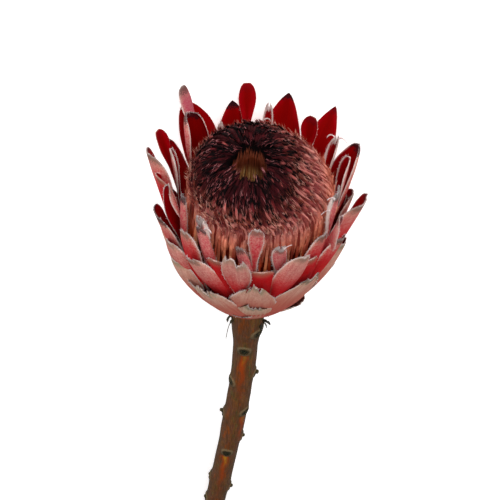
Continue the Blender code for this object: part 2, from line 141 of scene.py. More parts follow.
def makePiece(name, node, parts, looks, sharpAngle=None):
    # One object from several parts, each with its points, groups of faces, layers of values, and looks, the
    # number of the material of each group of faces
    sizes, corners, numbers, start = [], [], [], 0
    for part in parts:
        for faces, look in zip(part["faces"], part.get("looks", [0] * len(part["faces"]))):
            corners.append((faces + start).ravel())
            sizes.append(np.full(len(faces), faces.shape[1]))
            numbers.append(np.full(len(faces), look))
        start += part["points"].size // 3
    sizes = np.concatenate(sizes)
    points = layDown(np.concatenate([part["points"].reshape(-1, 3) for part in parts]))
    mesh = bpy.data.meshes.new(name)
    mesh.vertices.add(len(points))
    mesh.vertices.foreach_set("co", points.astype(np.float32).ravel())
    mesh.loops.add(int(sizes.sum()))
    mesh.loops.foreach_set("vertex_index", np.concatenate(corners).astype(np.int32))
    mesh.polygons.add(len(sizes))
    mesh.polygons.foreach_set("loop_start", (np.cumsum(sizes) - sizes).astype(np.int32))
    mesh.polygons.foreach_set("material_index", np.concatenate(numbers).astype(np.int32))
    mesh.update(calc_edges=True)
    mesh.shade_smooth()
    if sharpAngle:
        mesh.set_sharp_from_angle(angle=math.radians(sharpAngle))
    for layer in parts[0]["layers"]:
        values = np.concatenate([part["layers"][layer].ravel() for part in parts]).astype(np.float32)
        vector = len(values) == len(points) * 3
        made = mesh.attributes.new(layer, "FLOAT_VECTOR" if vector else "FLOAT", "POINT")
        made.data.foreach_set("vector" if vector else "value", values)
    for look in looks:
        mesh.materials.append(look)
    piece = bpy.data.objects.new(name, mesh)
    bpy.context.scene.collection.objects.link(piece)
    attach(piece, "root")
    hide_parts(node)
    print(name, "has", int((sizes - 2).sum()), "triangles")


# Materials. paint turns a colour as a screen shows it (0 to 255) into the shader's own numbers.
def paint(red, green, blue):
    shares = np.array((red, green, blue)) / 255
    linear = np.where(shares <= 0.04045, shares / 12.92, ((shares + 0.055) / 1.055) ** 2.4)
    return (*linear.tolist(), 1.0)


class Nodes:
    # Short ways to add nodes to a tree. What a socket gets is a number, another socket, a screen colour, or
    # the name of a layer of values on the mesh.
    def __init__(self, tree):
        self.tree = tree

    def feed(self, socket, value):
        if isinstance(value, str):
            value = self.layer(value)
        if isinstance(value, bpy.types.NodeSocket):
            self.tree.links.new(value, socket)
        else:
            socket.default_value = paint(*value) if socket.type == "RGBA" else value

    def feedAll(self, node, sockets):
        for key, value in sockets.items():
            self.feed(node.inputs[key.replace("_", " ")], value)

    def add(self, kind, settings=None, **sockets):
        node = self.tree.nodes.new(kind)
        for key, value in (settings or {}).items():
            setattr(node, key, value)
        self.feedAll(node, sockets)
        return node

    def layer(self, name, output="Fac"):
        return self.add("ShaderNodeAttribute", {"attribute_name": name}).outputs[output]

    def noise(self, pattern, scale, detail=2.0):
        return self.add("ShaderNodeTexNoise", Vector=pattern, Scale=scale, Detail=detail).outputs[0]

    def maths(self, operation, *values, kind="ShaderNodeMath"):
        node = self.add(kind, {"operation": operation})
        for socket, value in zip(node.inputs, values):
            self.feed(socket, value)
        return node.outputs[0]

    def plus(self, first, second):
        return self.maths("ADD", first, second)

    def times(self, first, second):
        return self.maths("MULTIPLY", first, second)

    def between(self, value, low, high, downTo=0.0, upTo=1.0):
        # Goes smoothly from downTo to upTo while the value goes from low to high
        sockets = {"Value": value, "From_Min": low, "From_Max": high, "To_Min": downTo, "To_Max": upTo}
        return self.add("ShaderNodeMapRange", {"interpolation_type": "SMOOTHSTEP"}, **sockets).outputs[0]

    def blend(self, share, first, second):
        node = self.add("ShaderNodeMix", {"data_type": "RGBA"})
        for index, value in ((0, share), (6, first), (7, second)):
            self.feed(node.inputs[index], value)
        return node.outputs[2]

    def ramp(self, value, *stops):
        # Each stop is a place and a screen colour
        node = self.add("ShaderNodeValToRGB", Fac=value)
        for index, (place, *colour) in enumerate(stops):
            stop = node.color_ramp.elements[index] if index < 2 else node.color_ramp.elements.new(place)
            stop.position = place
            stop.color = paint(*colour)
        return node.outputs[0]


class Look(Nodes):
    # A material whose colour is laid on in coats, each over a share of what lies under it
    def __init__(self, name, roughness, specular, **sockets):
        self.material = bpy.data.materials.new(name)
        self.material.use_nodes = True
        super().__init__(self.material.node_tree)
        self.shader = self.tree.nodes["Principled BSDF"]
        self.feedAll(self.shader, {"Roughness": roughness, "Specular IOR Level": specular, **sockets})

    def use(self, group, pattern=None, **sockets):
        # The mask and the height that a node group makes of the pattern
        pattern = pattern or self.layer("pattern", "Vector")
        return self.add("ShaderNodeGroup", {"node_tree": group}, Pattern=pattern, **sockets).outputs

    def coat(self, share, colour, strength=1.0):
        share = self.times(share, strength) if strength < 1 else share
        self.colour = self.blend(share, self.colour, colour)

    def finish(self, height=None, strength=0.0, depth=0.0):
        self.feedAll(self.shader, {"Base Color": self.colour})
        if height:
            bump = self.add("ShaderNodeBump", Strength=strength, Distance=depth, Height=height)
            self.feedAll(self.shader, {"Normal": bump.outputs[0]})
        return self.material


def newGroup(name, *numbers):
    # A node group that turns a pattern and some numbers into a mask and a height
    group = bpy.data.node_groups.new(name, "ShaderNodeTree")
    group.interface.new_socket("Pattern", in_out="INPUT", socket_type="NodeSocketVector")
    for key in numbers:
        group.interface.new_socket(key, in_out="INPUT", socket_type="NodeSocketFloat")
    for key in ("Mask", "Height"):
        group.interface.new_socket(key, in_out="OUTPUT", socket_type="NodeSocketFloat")
    given, made = group.nodes.new("NodeGroupInput").outputs, group.nodes.new("NodeGroupOutput").inputs
    return Nodes(group), given, made


def makeStreaks():
    # Long streaks that follow a surface: noise pulled out along the pattern's Y, coarse and fine together
    nodes, given, made = newGroup("streaks", "Scale", "Stretch")
    stretch = nodes.add("ShaderNodeCombineXYZ", X=1.0, Y=given["Stretch"], Z=1.0).outputs[0]
    pulled = nodes.maths("MULTIPLY", given["Pattern"], stretch, kind="ShaderNodeVectorMath")
    coarse = nodes.noise(pulled, given["Scale"], 3.0)
    fine = nodes.noise(pulled, nodes.times(given["Scale"], 3.1))
    both = nodes.plus(nodes.times(coarse, 0.6), nodes.times(fine, 0.4))
    nodes.feed(made["Mask"], nodes.between(both, 0.36, 0.64))
    nodes.feed(made["Height"], both)
    return nodes.tree


def makeMottle():
    # Soft blotches with a fine grain in them, as felt and old bark have
    nodes, given, made = newGroup("mottle", "Scale", "Grain")
    nodes.feed(made["Mask"], nodes.between(nodes.noise(given["Pattern"], given["Scale"], 4.0), 0.36, 0.66))
    nodes.feed(made["Height"], nodes.noise(given["Pattern"], given["Grain"]))
    return nodes.tree


streaks = makeStreaks()
mottle = makeMottle()

# Florets. The core's side and crown as (radius, height); the crown sits off centre and tilts to the front.
# A floret is sunk in at its root, swells by the share belly a little below its tip, and is dark over a
# length that grows by darkMore towards the crown; its tip strays by jitter along the core and its tube by
# sway round it.
florets = {
    "side": ((11.0, 16.3), (14.0, 20.0), (18.0, 27.0), (21.4, 35.0), (24.4, 45.0), (26.4, 55.0),
             (27.1, 65.0), (26.5, 75.0), (23.6, 83.5), (18.2, 89.2), (13.0, 91.8), (9.6, 92.2)),
    "lean": 1.5, "crownOffset": (-4.6, -3.0), "crownFrom": 78.0, "crownTilt": 0.23, "rounding": 2.5,
    "hollowRadius": 7.6, "hollowRings": (90.6, 86.0, 80.0), "hollowFloor": 72.0, "coreSides": 72,
    "coreRings": 64, "long": 13.0, "foot": 5.0, "depth": 0.8, "stops": 10, "sides": 5, "jitter": 1.3,
    "jitterRange": (-2.6, 1.6), "sway": 0.014, "tipSway": 0.012, "sunk": 0.4, "belly": 0.25, "bellyAt": 2.6,
    "bellyLength": 1.2, "darkLength": 3.2, "darkMore": 2.6,
}
# Rows of florets: how many, the first and last tip's distance up the side, spacing, half width, whether
# they start at the core's foot, how far the tips stand out, over what length they leave the dome, and
# whether their ends are dark.
floretRows = (
    (1, 65.0, 65.0, 1.90, 0.62, True, 0.5, 2.0, 1.0),
    (10, 66.5, 91.0, 1.45, 0.66, False, 1.3, 2.4, 1.0),
    (3, 62.0, 80.0, 5.0, 0.40, False, 1.8, 6.0, 0.0),
)
corePath = np.array(florets["side"] + ((5.0, 92.0),))
coreSteps = pathSteps(corePath)
lipAt = coreSteps[-2]
hollowCentre = np.array((florets["lean"] + florets["crownOffset"][0], florets["crownOffset"][1], 0))


def coreRadius(distance):
    return np.interp(distance, coreSteps, corePath[:, 0])


def coreSpot(distance, angle):
    # The spot at a distance up the core's side: its radius and height there, rounded where its stretches
    # meet, turned by the angle, leaning as it climbs, and shifted and tilted towards the crown
    near = (-florets["rounding"], 0, florets["rounding"])
    spread = [np.clip(distance + step, 0, coreSteps[-1]) for step in near]
    radius = sum(coreRadius(spot) for spot in spread) / 3
    height = sum(np.interp(spot, coreSteps, corePath[:, 1]) for spot in spread) / 3
    foot, top = corePath[0, 1], corePath[-2, 1]
    crown = smoothStep(florets["crownFrom"], top, height)
    lean = florets["lean"] * smoothStep(foot, florets["crownFrom"], height)
    spots = polar(radius, angle, height)
    spots[..., 0] += lean + crown * florets["crownOffset"][0]
    spots[..., 1] += crown * florets["crownOffset"][1]
    spots[..., 2] += crown * florets["crownTilt"] * radius * np.sin(angle)
    return spots


def coreOutward(distance, angle):
    # The core's outward direction, across its rise and its turn over a short step, and the way round it
    rise = coreSpot(distance + 0.8, angle) - coreSpot(distance - 0.8, angle)
    turn = coreSpot(distance, angle + 0.01) - coreSpot(distance, angle - 0.01)
    return unit(np.cross(turn, rise)), unit(turn)


def setOutFlorets(draw):
    # Row after row up the core: the tip's distance, angle, length, how far it stands out, tint, half width,
    # ease and darkness
    tips = []
    for rows, first, last, spacing, width, fromFoot, rise, ease, dark in floretRows:
        for row, tipAt in enumerate(np.linspace(first, last, rows)):
            count = round(2 * math.pi * coreRadius(tipAt - 3) / spacing)
            angle = (np.arange(count) + 0.5 * (row % 2)) * 2 * np.pi / count
            angle = angle + draw.normal(0, florets["sway"], count)
            long = tipAt - florets["foot"] if fromFoot else florets["long"]
            shift = draw.normal(0, florets["jitter"], count).clip(*florets["jitterRange"])
            tips.append(together(tipAt + shift, angle, long, rise * draw.uniform(0.5, 1.5, count),
                                 draw.random(count), width * draw.uniform(0.8, 1.2, count), ease, dark))
    return np.concatenate(tips)


def floretTubes(tips, draw):
    # Each floret is a slim tube that climbs the core, thickens into a felted limb and stands out a little
    # at its dark end; t runs from root (0) to tip (1)
    tipAt, angle, long, rise, tint, wide, ease, darkness = tips.T[:, :, None]
    t = 1 - (1 - np.linspace(0, 1, florets["stops"])[None]) ** 1.3
    below = long * (1 - t)
    distance = tipAt - below
    sway = draw.normal(0, florets["sway"], (len(tips), 1)) * np.sin(np.pi * t)
    sway = sway + draw.normal(0, florets["tipSway"], (len(tips), 1)) * t ** 3
    outward, side = coreOutward(distance, angle + sway)
    lift = smoothStep(0, 0.55, t) - florets["sunk"] + rise * np.exp(-below / ease)
    paths = coreSpot(distance, angle + sway) + outward * lift[..., None]
    narrow = coreRadius(distance) / coreRadius(tipAt - 3)
    belly = np.exp(-((below - florets["bellyAt"]) / florets["bellyLength"]) ** 2)
    width = wide * (1 + florets["belly"] * belly) * np.clip(narrow, 0.6, 1.1)
    width = width * (1 - 0.55 * smoothStep(1.6, 0, below))
    # the crown's darkness spreads less far down on the right
    climb = distance / lipAt - 0.07 * np.clip(np.cos(angle - 0.2), 0, 1) ** 2
    reach = florets["darkLength"] + florets["darkMore"] * smoothStep(0.80, 0.95, climb)
    dark = smoothStep(reach, reach - 1.0, below) * smoothStep(0.66, 0.84, climb)
    dark = dark * smoothStep(0.1, 0.35, tint) * darkness
    pattern = together(angle * 25, distance, tint * 40)
    part = strandPart(paths, outward, width, width * florets["depth"], florets["sides"],
                      tint=tint, climb=climb, dark=dark, pattern=pattern)
    return part, paths, outward, side, climb


# Hairs: how many on each floret, the stretch of it that they stand on, their length, half thickness, how
# much thinner they are low down, and how much they splay and stray.
hairs = {"each": 12, "stretch": (0.45, 0.97), "length": (1.4, 3.2), "thickness": 0.10, "thinner": 0.06,
         "splay": 0.22, "stray": 0.06, "sides": 3}


def floretHairs(tips, paths, outward, side, climb, draw):
    # Short straight hairs on the felted half of each floret, combed to its tip and splayed to its sides
    shape, stops = (len(tips), hairs["each"]), florets["stops"]
    place = draw.uniform(*hairs["stretch"], shape) * (stops - 1)
    low = np.clip(place.astype(int), 0, stops - 2)
    part = (place - low)[..., None]
    row = np.arange(len(tips))[:, None]
    root = paths[row, low] * (1 - part) + paths[row, low + 1] * part
    along = unit(paths[row, low + 1] - paths[row, low])
    around = draw.uniform(-1, 1, (*shape, 1))
    splay = side[row, low] * around
    lift = outward[row, low] * np.sqrt(1 - around ** 2)
    root = root + tips[:, 5, None, None] * 0.8 * (splay + 0.7 * lift)
    spread = hairs["splay"]
    aim = unit(along + spread * splay + spread * lift + draw.normal(0, hairs["stray"], (*shape, 3)))
    climb = climb[row, low]
    long = draw.uniform(*hairs["length"], (*shape, 1)) * (1 - 0.2 * smoothStep(0.8, 0.95, climb))[..., None]
    lines = np.stack((root, root + aim * long), axis=2).reshape(-1, 2, 3)
    tint = (0.65 * tips[:, 4, None] + 0.35 * draw.random(shape)).reshape(-1, 1)
    climb = climb.reshape(-1, 1)
    # thinner low on the dome, where the bare tubes show
    thick = hairs["thickness"] - hairs["thinner"] * smoothStep(0.84, 0.68, climb)
    return strandPart(lines, lift.reshape(-1, 1, 3), thick, thick, hairs["sides"], tint=tint, climb=climb)


def corePart():
    # The mass between the florets, darkened as painted shade in the gaps between them: the core's side
    # turned round, down into the hollow and closed
    angle = turns(florets["coreSides"])
    distance = np.linspace(0.4, lipAt, florets["coreRings"])[:, None]
    shell = coreSpot(distance, angle) - coreOutward(distance, angle)[0] * 0.9
    heights = (*florets["hollowRings"], florets["hollowFloor"])
    well = [polar(florets["hollowRadius"], angle, height) + hollowCentre for height in heights]
    points, *faces = closedTurn(np.concatenate((shell, well)))
    climb = np.append(distance / lipAt, np.full(len(well), 1.05))
    climb = np.append(climb.repeat(len(angle)), (0, 1.05))
    # tint 0 and the dark layer give the core the darkest colours of the felt: painted shade between the
    # florets and in the hollow
    layers = {"tint": 0 * climb, "climb": climb, "dark": smoothStep(0.7, 0.9, climb), "pattern": points}
    return {"points": points, "faces": faces, "layers": layers}


def floretLook():
    # Salmon to orange-brown tubes, then limbs that go from dusty pink to brown up the dome, with dark ends
    look = Look("floretFelt", 0.8, 0.06)
    grain = look.use(streaks, Scale=1.3, Stretch=0.12)
    look.colour = look.ramp("tint", (0.0, 130, 34, 6), (0.35, 228, 76, 26), (0.7, 255, 160, 104),
                            (0.85, 255, 186, 140), (1.0, 196, 48, 8))
    upper = look.ramp("tint", (0.0, 110, 34, 28), (0.65, 246, 156, 128), (1.0, 150, 46, 30))
    look.coat(look.between("climb", 0.52, 0.72), upper)
    look.coat(grain["Mask"], (124, 36, 10), 0.5)
    low = look.ramp("tint", (0.0, 100, 34, 36), (0.35, 170, 88, 84), (0.7, 228, 156, 144),
                    (1.0, 130, 54, 56))
    high = look.ramp("tint", (0.0, 34, 4, 8), (0.6, 102, 32, 36), (1.0, 176, 90, 84))
    limb = look.blend(look.between("climb", 0.72, 0.90), low, high)
    look.coat(look.between("climb", 0.68, 0.78), limb)
    dark = look.blend(look.between("climb", 0.70, 0.86), (70, 16, 26), (6, 1, 2))
    look.coat("dark", dark)
    return look.finish(grain["Height"], 0.6, 0.0004)


def hairLook():
    # Dull pinkish-brown hairs, paler low on the dome and darker round the crown
    look = Look("floretHair", 0.7, 0.06)
    look.colour = look.ramp("tint", (0.15, 104, 28, 22), (0.5, 186, 88, 66), (0.85, 252, 196, 172))
    high = look.ramp("tint", (0.15, 8, 1, 2), (0.55, 62, 16, 20), (0.75, 136, 66, 70),
                     (0.92, 204, 134, 136))
    look.coat(look.between("climb", 0.74, 0.92), high)
    return look.finish()


def makeFlorets():
    draw = np.random.default_rng(21)
    felt = floretLook()
    tips = setOutFlorets(draw)
    tubes, *lines = floretTubes(tips, draw)
    makePiece("floret_core", "florets", [corePart()], [felt])
    makePiece("floret_tubes", "florets", [tubes], [felt])
    makePiece("floret_hairs", "florets", [floretHairs(tips, *lines, draw)], [hairLook()])


# Inner florets: tan bristles that stand round the hollow of the crown and over its floor.
bristles = {"wall": 260, "floor": 130, "width": 0.42, "tops": (88.0, 92.0), "floorTops": (75.0, 80.0),
            "radii": (5.6, 7.3), "goldenAngle": 2.399963, "stops": 7, "sides": 4}


def makeBristles():
    # Each bristle rises from the hollow's floor, leaning a little inwards, and ends in a thin point; those
    # of the wall end at the crown's rim, which climbs to the back
    draw = np.random.default_rng(8)
    wall, rest, (inner, outer) = bristles["wall"], bristles["floor"], bristles["radii"]
    angle = np.append(np.arange(wall) * bristles["goldenAngle"], draw.uniform(0, 2 * np.pi, rest))
    radius = np.append(draw.uniform(inner, outer, wall), inner * np.sqrt(draw.random(rest)))
    top = np.append(draw.uniform(*bristles["tops"], wall), draw.uniform(*bristles["floorTops"], rest))
    tilt = 0.3 * np.sin(angle) + 0.25 * np.clip(np.sin(angle), 0, 1)
    top[:wall] += (radius * tilt)[:wall]
    angle, radius, top = (values[:, None] for values in (angle, radius, top))
    t = np.linspace(0, 1, bristles["stops"])[None]
    bend = draw.normal(0, 0.5, top.shape) * t ** 2
    height = florets["hollowFloor"] - 0.5 + (top - florets["hollowFloor"]) * t
    paths = polar(radius - 0.9 * t ** 2, angle + bend / 9, height) + hollowCentre
    width = bristles["width"] * draw.uniform(0.8, 1.3, top.shape) * (1 - 0.5 * t)
    tint = draw.random(top.shape)
    pattern = together(angle * 20, height, tint * 30)
    along = (height - florets["hollowFloor"]) / 20
    part = strandPart(paths, polar(1.0, angle, 0.0), width, width * 0.7, bristles["sides"],
                      along=along, tint=tint, pattern=pattern)
    look = Look("bristleTan", 0.7, 0.2)
    grain = look.use(streaks, Scale=2.0, Stretch=0.1)
    look.colour = look.ramp("tint", (0.0, 150, 96, 44), (0.5, 206, 152, 86), (1.0, 240, 200, 132))
    look.coat(grain["Mask"], (120, 62, 24), 0.5)
    # Darker towards their tops: partly the tips' own brown, partly painted shade in the upper part of the
    # hollow
    look.coat(look.between("along", 0.36, 0.74), (92, 36, 12))
    makePiece("crown_bristles", "inner_florets", [part], [look.finish(grain["Height"], 0.4, 0.0003)])


# Bracts. Each kind's neck as a share of its width, how steeply it leaves the cup, in degrees, and how it
# curls across: with its distance from the axis as radius, less the share curlLoss and plus curlGain at
# the tip.
bractKinds = {
    "scale": {"neck": 0.40, "rootRise": 51.0, "curlLoss": 0.0, "curlGain": 0.0},
    "broad": {"neck": 0.34, "rootRise": 57.0, "curlLoss": 0.3, "curlGain": 0.0},
    "spoon": {"neck": 0.40, "rootRise": 55.5, "curlLoss": 1.0, "curlGain": 6.0},
}

# How a bract ends: where it widens and where it starts to round off, the two powers of that curve and the
# width left at its end, how torn it is, how far its margins roll in (radians) and how close to the margins
# (cup), how far its end bends out, how much its margins wave, its wool, its dark tip, how far up its red
# base reaches (blush), and how purple it is (dusk). The last two are 0 where they are left out.
endValues = ("widen", "taper", "power", "sharp", "end", "torn", "roll", "cup", "bend", "wave", "wool",
             "black", "blush", "dusk")
bractEnds = {name: dict(zip(endValues, (*values, 0.0, 0.0))) for name, *values in (
    ("leaf", (0.0, 0.55), 0.56, 2.0, 1.4, 0.04, 0.0, 0.35, 3.0, 0.6, 0.25, 0.35, 1.0),
    ("torn", (0.0, 0.60), 0.66, 2.2, 1.9, 0.40, 0.055, 0.40, 3.0, 0.3, 0.6, 0.8, 0.5),
    ("ragged", (0.62, 0.86), 0.84, 2.6, 2.6, 0.60, 0.05, 0.6, 3.0, 0.3, 0.5, 0.9, 0.5),
    ("boat", (0.46, 0.80), 0.80, 2.3, 2.0, 0.26, 0.012, 0.95, 1.8, -0.3, 0.35, 0.9, 0.6),
    ("flushed", (0.46, 0.80), 0.80, 2.3, 2.0, 0.26, 0.012, 0.95, 1.8, -0.3, 0.35, 0.9, 0.6, 0.12),
    ("blunt", (0.40, 0.72), 0.86, 2.6, 2.6, 0.42, 0.01, 0.5, 1.8, -0.2, 0.3, 0.8, 0.7, 0.08),
    ("rimmed", (0.1, 0.62), 0.70, 2.3, 2.1, 0.14, 0.01, 1.5, 4.0, -0.2, 0.35, 0.9, 0.8),
    ("paddle", (0.66, 0.88), 0.88, 2.2, 2.2, 0.12, 0.0, 0.9, 3.0, 0.0, 0.3, 1.3, 0.4),
    ("claw", (0.78, 0.94), 0.94, 2.2, 2.6, 0.35, 0.01, 0.8, 2.4, 0.2, 0.4, 1.0, 0.5, 0.06),
    ("plain", (0.30, 0.75), 0.80, 2.2, 2.0, 0.20, 0.0, 0.40, 3.0, 0.2, 0.2, 0.5, 0.3, 0.40),
    ("clean", (0.80, 0.95), 0.93, 2.2, 2.4, 0.34, 0.0, 0.30, 3.0, 0.2, 0.1, 0.3, 0.4),
    ("finger", (0.60, 0.86), 0.90, 2.3, 2.3, 0.20, 0.0, 0.7, 2.0, 0.2, 0.2, 0.9, 1.0, 0.0, 0.7),
    ("hood", (0.62, 0.84), 0.88, 2.4, 2.4, 0.14, 0.015, 1.6, 3.0, -0.5, 0.4, 0.8, 0.7),
    ("furled", (0.62, 0.84), 0.86, 2.2, 2.2, 0.14, 0.02, 2.1, 1.6, -0.3, 0.5, 0.9, 0.9),
    ("woolly", (0.70, 0.90), 0.90, 2.4, 2.4, 0.25, 0.03, 1.4, 2.0, 0.8, 0.6, 2.1, 0.6),
)}

# The cup that the roots make lies on the stem's receptacle, whose side is given as (radius, height).
receptacle = ((6.0, 3.9), (9.4, 9.8), (12.2, 15.0))
cup = {"gap": 0.3, "wall": 2.2, "jitter": 0.2, "sides": 72}

# The two outermost rows by rule: count, first azimuth, place on the cup from its foot (0) to its rim (1),
# tip (radius, height), width, elevation of the tip's direction, swing of the azimuth, spread of the tip.
outerRows = (
    (7, 214.0, 0.06, (26.6, 33.0), 17.0, 56, 5.0, 1.4),
    (9, 271.0, 0.18, (32.6, 47.0), 19.0, 68, 4.0, 1.6),
)

# The other rows one by one, going round: azimuth, sideways lean from root to tip (degrees), tip (radius,
# height), width, elevation of the tip's direction, how it ends, and its twist (degrees).
middleRow = (
    (18, 3, 37.0, 61, 18.0, 78, "torn", 12), (57, -4, 37.0, 64, 18.0, 78, "torn", 0),
    (93, 3, 36.6, 60, 18.0, 78, "torn", 0), (131, -2, 37.2, 63, 18.0, 78, "torn", 0),
    (166, 4, 36.8, 60, 17.0, 78, "boat", -25), (193, -12, 36.4, 59, 17.0, 78, "boat", -20),
    (216, -20, 36.8, 56, 16.0, 74, "boat", -10), (243, -24, 36.6, 54, 17.0, 72, "torn", -4),
    (273, 3, 37.0, 63, 19.0, 78, "torn", 0), (308, 24, 36.8, 62, 18.0, 76, "torn", 4),
    (343, 14, 36.8, 60, 17.0, 76, "boat", 16),
)
broadRow = (
    (15, 4, 39.5, 66, 15.0, 76, "boat", 20), (28, 8, 43.5, 82, 19.0, 70, "rimmed", 10),
    (56, 4, 50.3, 82.5, 19.0, 62, "leaf", 0), (77, 0, 43.0, 87, 22.0, 74, "leaf", 0),
    (107, 2, 39.5, 84, 24.0, 78, "leaf", 0), (126, 3, 51.0, 79.5, 17.0, 60, "plain", 0),
    (148, -4, 43.5, 75, 15.0, 70, "boat", -30), (164.5, -16, 44.2, 78.5, 22.0, 72, "blunt", -44),
    (199, -12, 39.4, 72.5, 19.0, 74, "blunt", -6), (214, -10, 38.0, 66, 15.0, 80, "boat", -12),
    (227, -8, 37.0, 79, 10.5, 82, "flushed", -5), (235, -42, 39.4, 70, 13.5, 70, "boat", -6),
    (261, -6, 38.8, 79, 11.5, 80, "ragged", 0), (298, 23, 39.6, 79, 13.0, 78, "boat", 5),
    (316, 18, 35.4, 80, 10.5, 84, "flushed", 4), (328, 20, 38.8, 74, 12.5, 74, "flushed", 10),
    (354.5, 18, 40.8, 76, 23.0, 72, "blunt", 24),
)
spoonRow = (
    (19, 4, 36.0, 84, 9.0, 84, "paddle", 8), (37, 4, 35.0, 83, 7.0, 84, "woolly", 0),
    (57, 2, 36.0, 86, 8.0, 78, "clean", 0), (86, 0, 35.5, 84, 5.5, 84, "woolly", 0),
    (99, 0, 42.0, 91, 7.8, 68, "clean", 0), (117, 4, 34.0, 77, 6.0, 78, "woolly", 0),
    (130, 4, 49.0, 91, 8.0, 56, "finger", 165), (139, 0, 38.5, 88.5, 16.5, 74, "hood", 0),
    (156, -2, 42.5, 85.5, 7.5, 68, "clean", 0), (163, -4, 35.0, 83, 8.0, 80, "paddle", -20),
    (181, 0, 37.0, 80, 15.0, 76, "plain", -30), (196, -3, 32.0, 84, 9.0, 84, "hood", 165),
    (206, -4, 30.8, 83, 6.5, 90, "furled", 0), (232, -18, 30.4, 85, 7.0, 94, "woolly", 0),
    (234, -30, 34.4, 82.5, 8.5, 84, "furled", 0), (248, -4, 35.0, 72, 13.0, 84, "plain", 0),
    (261, -40, 34.0, 79, 7.5, 84, "furled", 0), (272, 2, 32.2, 89.5, 6.6, 90, "claw", 0),
    (286, -16, 33.2, 82, 8.0, 84, "woolly", 0), (276, 4, 35.0, 70, 16.0, 84, "plain", 0),
    (308, 4, 35.0, 71, 12.0, 84, "plain", 0), (324, 2, 35.6, 87, 8.0, 84, "hood", 165),
    (332, 8, 31.0, 93, 5.5, 92, "woolly", 20),
)
# How finely a bract is divided, its thickness at the root, the paces of the noise that tears its end, and
# how uneven its width is.
sheets = {"rows": 38, "columns": 16, "thickness": 0.75, "tearPaces": (3.0, 13.0), "uneven": 0.05}


def cupProfile(outward):
    # The receptacle's side moved outwards, with its foot raised
    places = np.array(receptacle) + (outward, 0)
    places[0, 1] += cup["gap"] + 0.25 * outward
    return places


def layOutBracts():
    # Every bract as a dictionary, row after row from the outermost; its root lies in the cup's wall
    draw = random.Random(7)
    wall = cupProfile(cup["gap"] + cup["wall"] / 2)
    laid = []

    def add(row, kind, share, tip, tipRise, azimuth, lean, width, ending, twist):
        root = np.array([np.interp(share * 2, range(3), wall[:, k]) for k in (0, 1)])
        root = root + [draw.uniform(-cup["jitter"], cup["jitter"]) for _ in range(2)]
        laid.append({"row": row, "root": root, "tip": np.array(tip), "tipRise": tipRise, "lean": lean,
                     "azimuth": azimuth, "width": width, "twist": twist, "seed": len(laid),
                     **bractKinds[kind], **bractEnds[ending]})

    for row, (count, first, share, tip, width, rise, swing, spread) in enumerate(outerRows):
        for i in range(count):
            azimuth = first + 360 * i / count + draw.uniform(-swing, swing)
            end = (tip[0] + draw.uniform(-spread, spread) * 0.4, tip[1] + draw.uniform(-spread, spread))
            lean = draw.uniform(-6, 6)
            add(row, "scale", share + 0.06 * (i % 2), end, rise, azimuth, lean, width, "torn", 0)
    rows = (("scale", (0.30, 0.40), middleRow), ("broad", (0.52, 0.66), broadRow),
            ("spoon", (0.80, 0.94), spoonRow))
    for row, (kind, shares, listed) in enumerate(rows):
        for i, (azimuth, lean, radius, height, width, rise, ending, twist) in enumerate(listed):
            add(row + 2, kind, shares[i % 2], (radius, height), rise, azimuth, lean, width, ending, twist)
    return laid


def bractLine(bract, t):
    # A cubic Bezier in radius and height, turned by the azimuth, which is less by the lean at the root
    root, tip = bract["root"], bract["tip"]
    reach = 0.40 * math.dist(root, tip)
    rootRise, tipRise = math.radians(bract["rootRise"]), math.radians(bract["tipRise"])
    afterRoot = root + reach * np.array((math.cos(rootRise), math.sin(rootRise)))
    beforeTip = tip - reach * np.array((math.cos(tipRise), math.sin(tipRise)))
    s = 1 - t
    steps = tuple(zip((s ** 3, 3 * s * s * t, 3 * s * t * t, t ** 3), (root, afterRoot, beforeTip, tip)))
    radius, height = (sum(weight * spot[k] for weight, spot in steps) for k in (0, 1))
    return polar(radius, np.radians(bract["azimuth"] - bract["lean"] * np.clip(s, 0, 1)), height)


def widthShare(bract, t):
    # Neck, then a smooth widening, then a rounding off along a superellipse
    body = bract["neck"] + (1 - bract["neck"]) * smoothStep(*bract["widen"], t)
    past = np.clip((t - bract["taper"]) / (1 - bract["taper"]), 0, 1)
    power = bract["power"]
    return body * (1 - (1 - bract["end"] ** power) * past ** power) ** (1 / bract["sharp"])


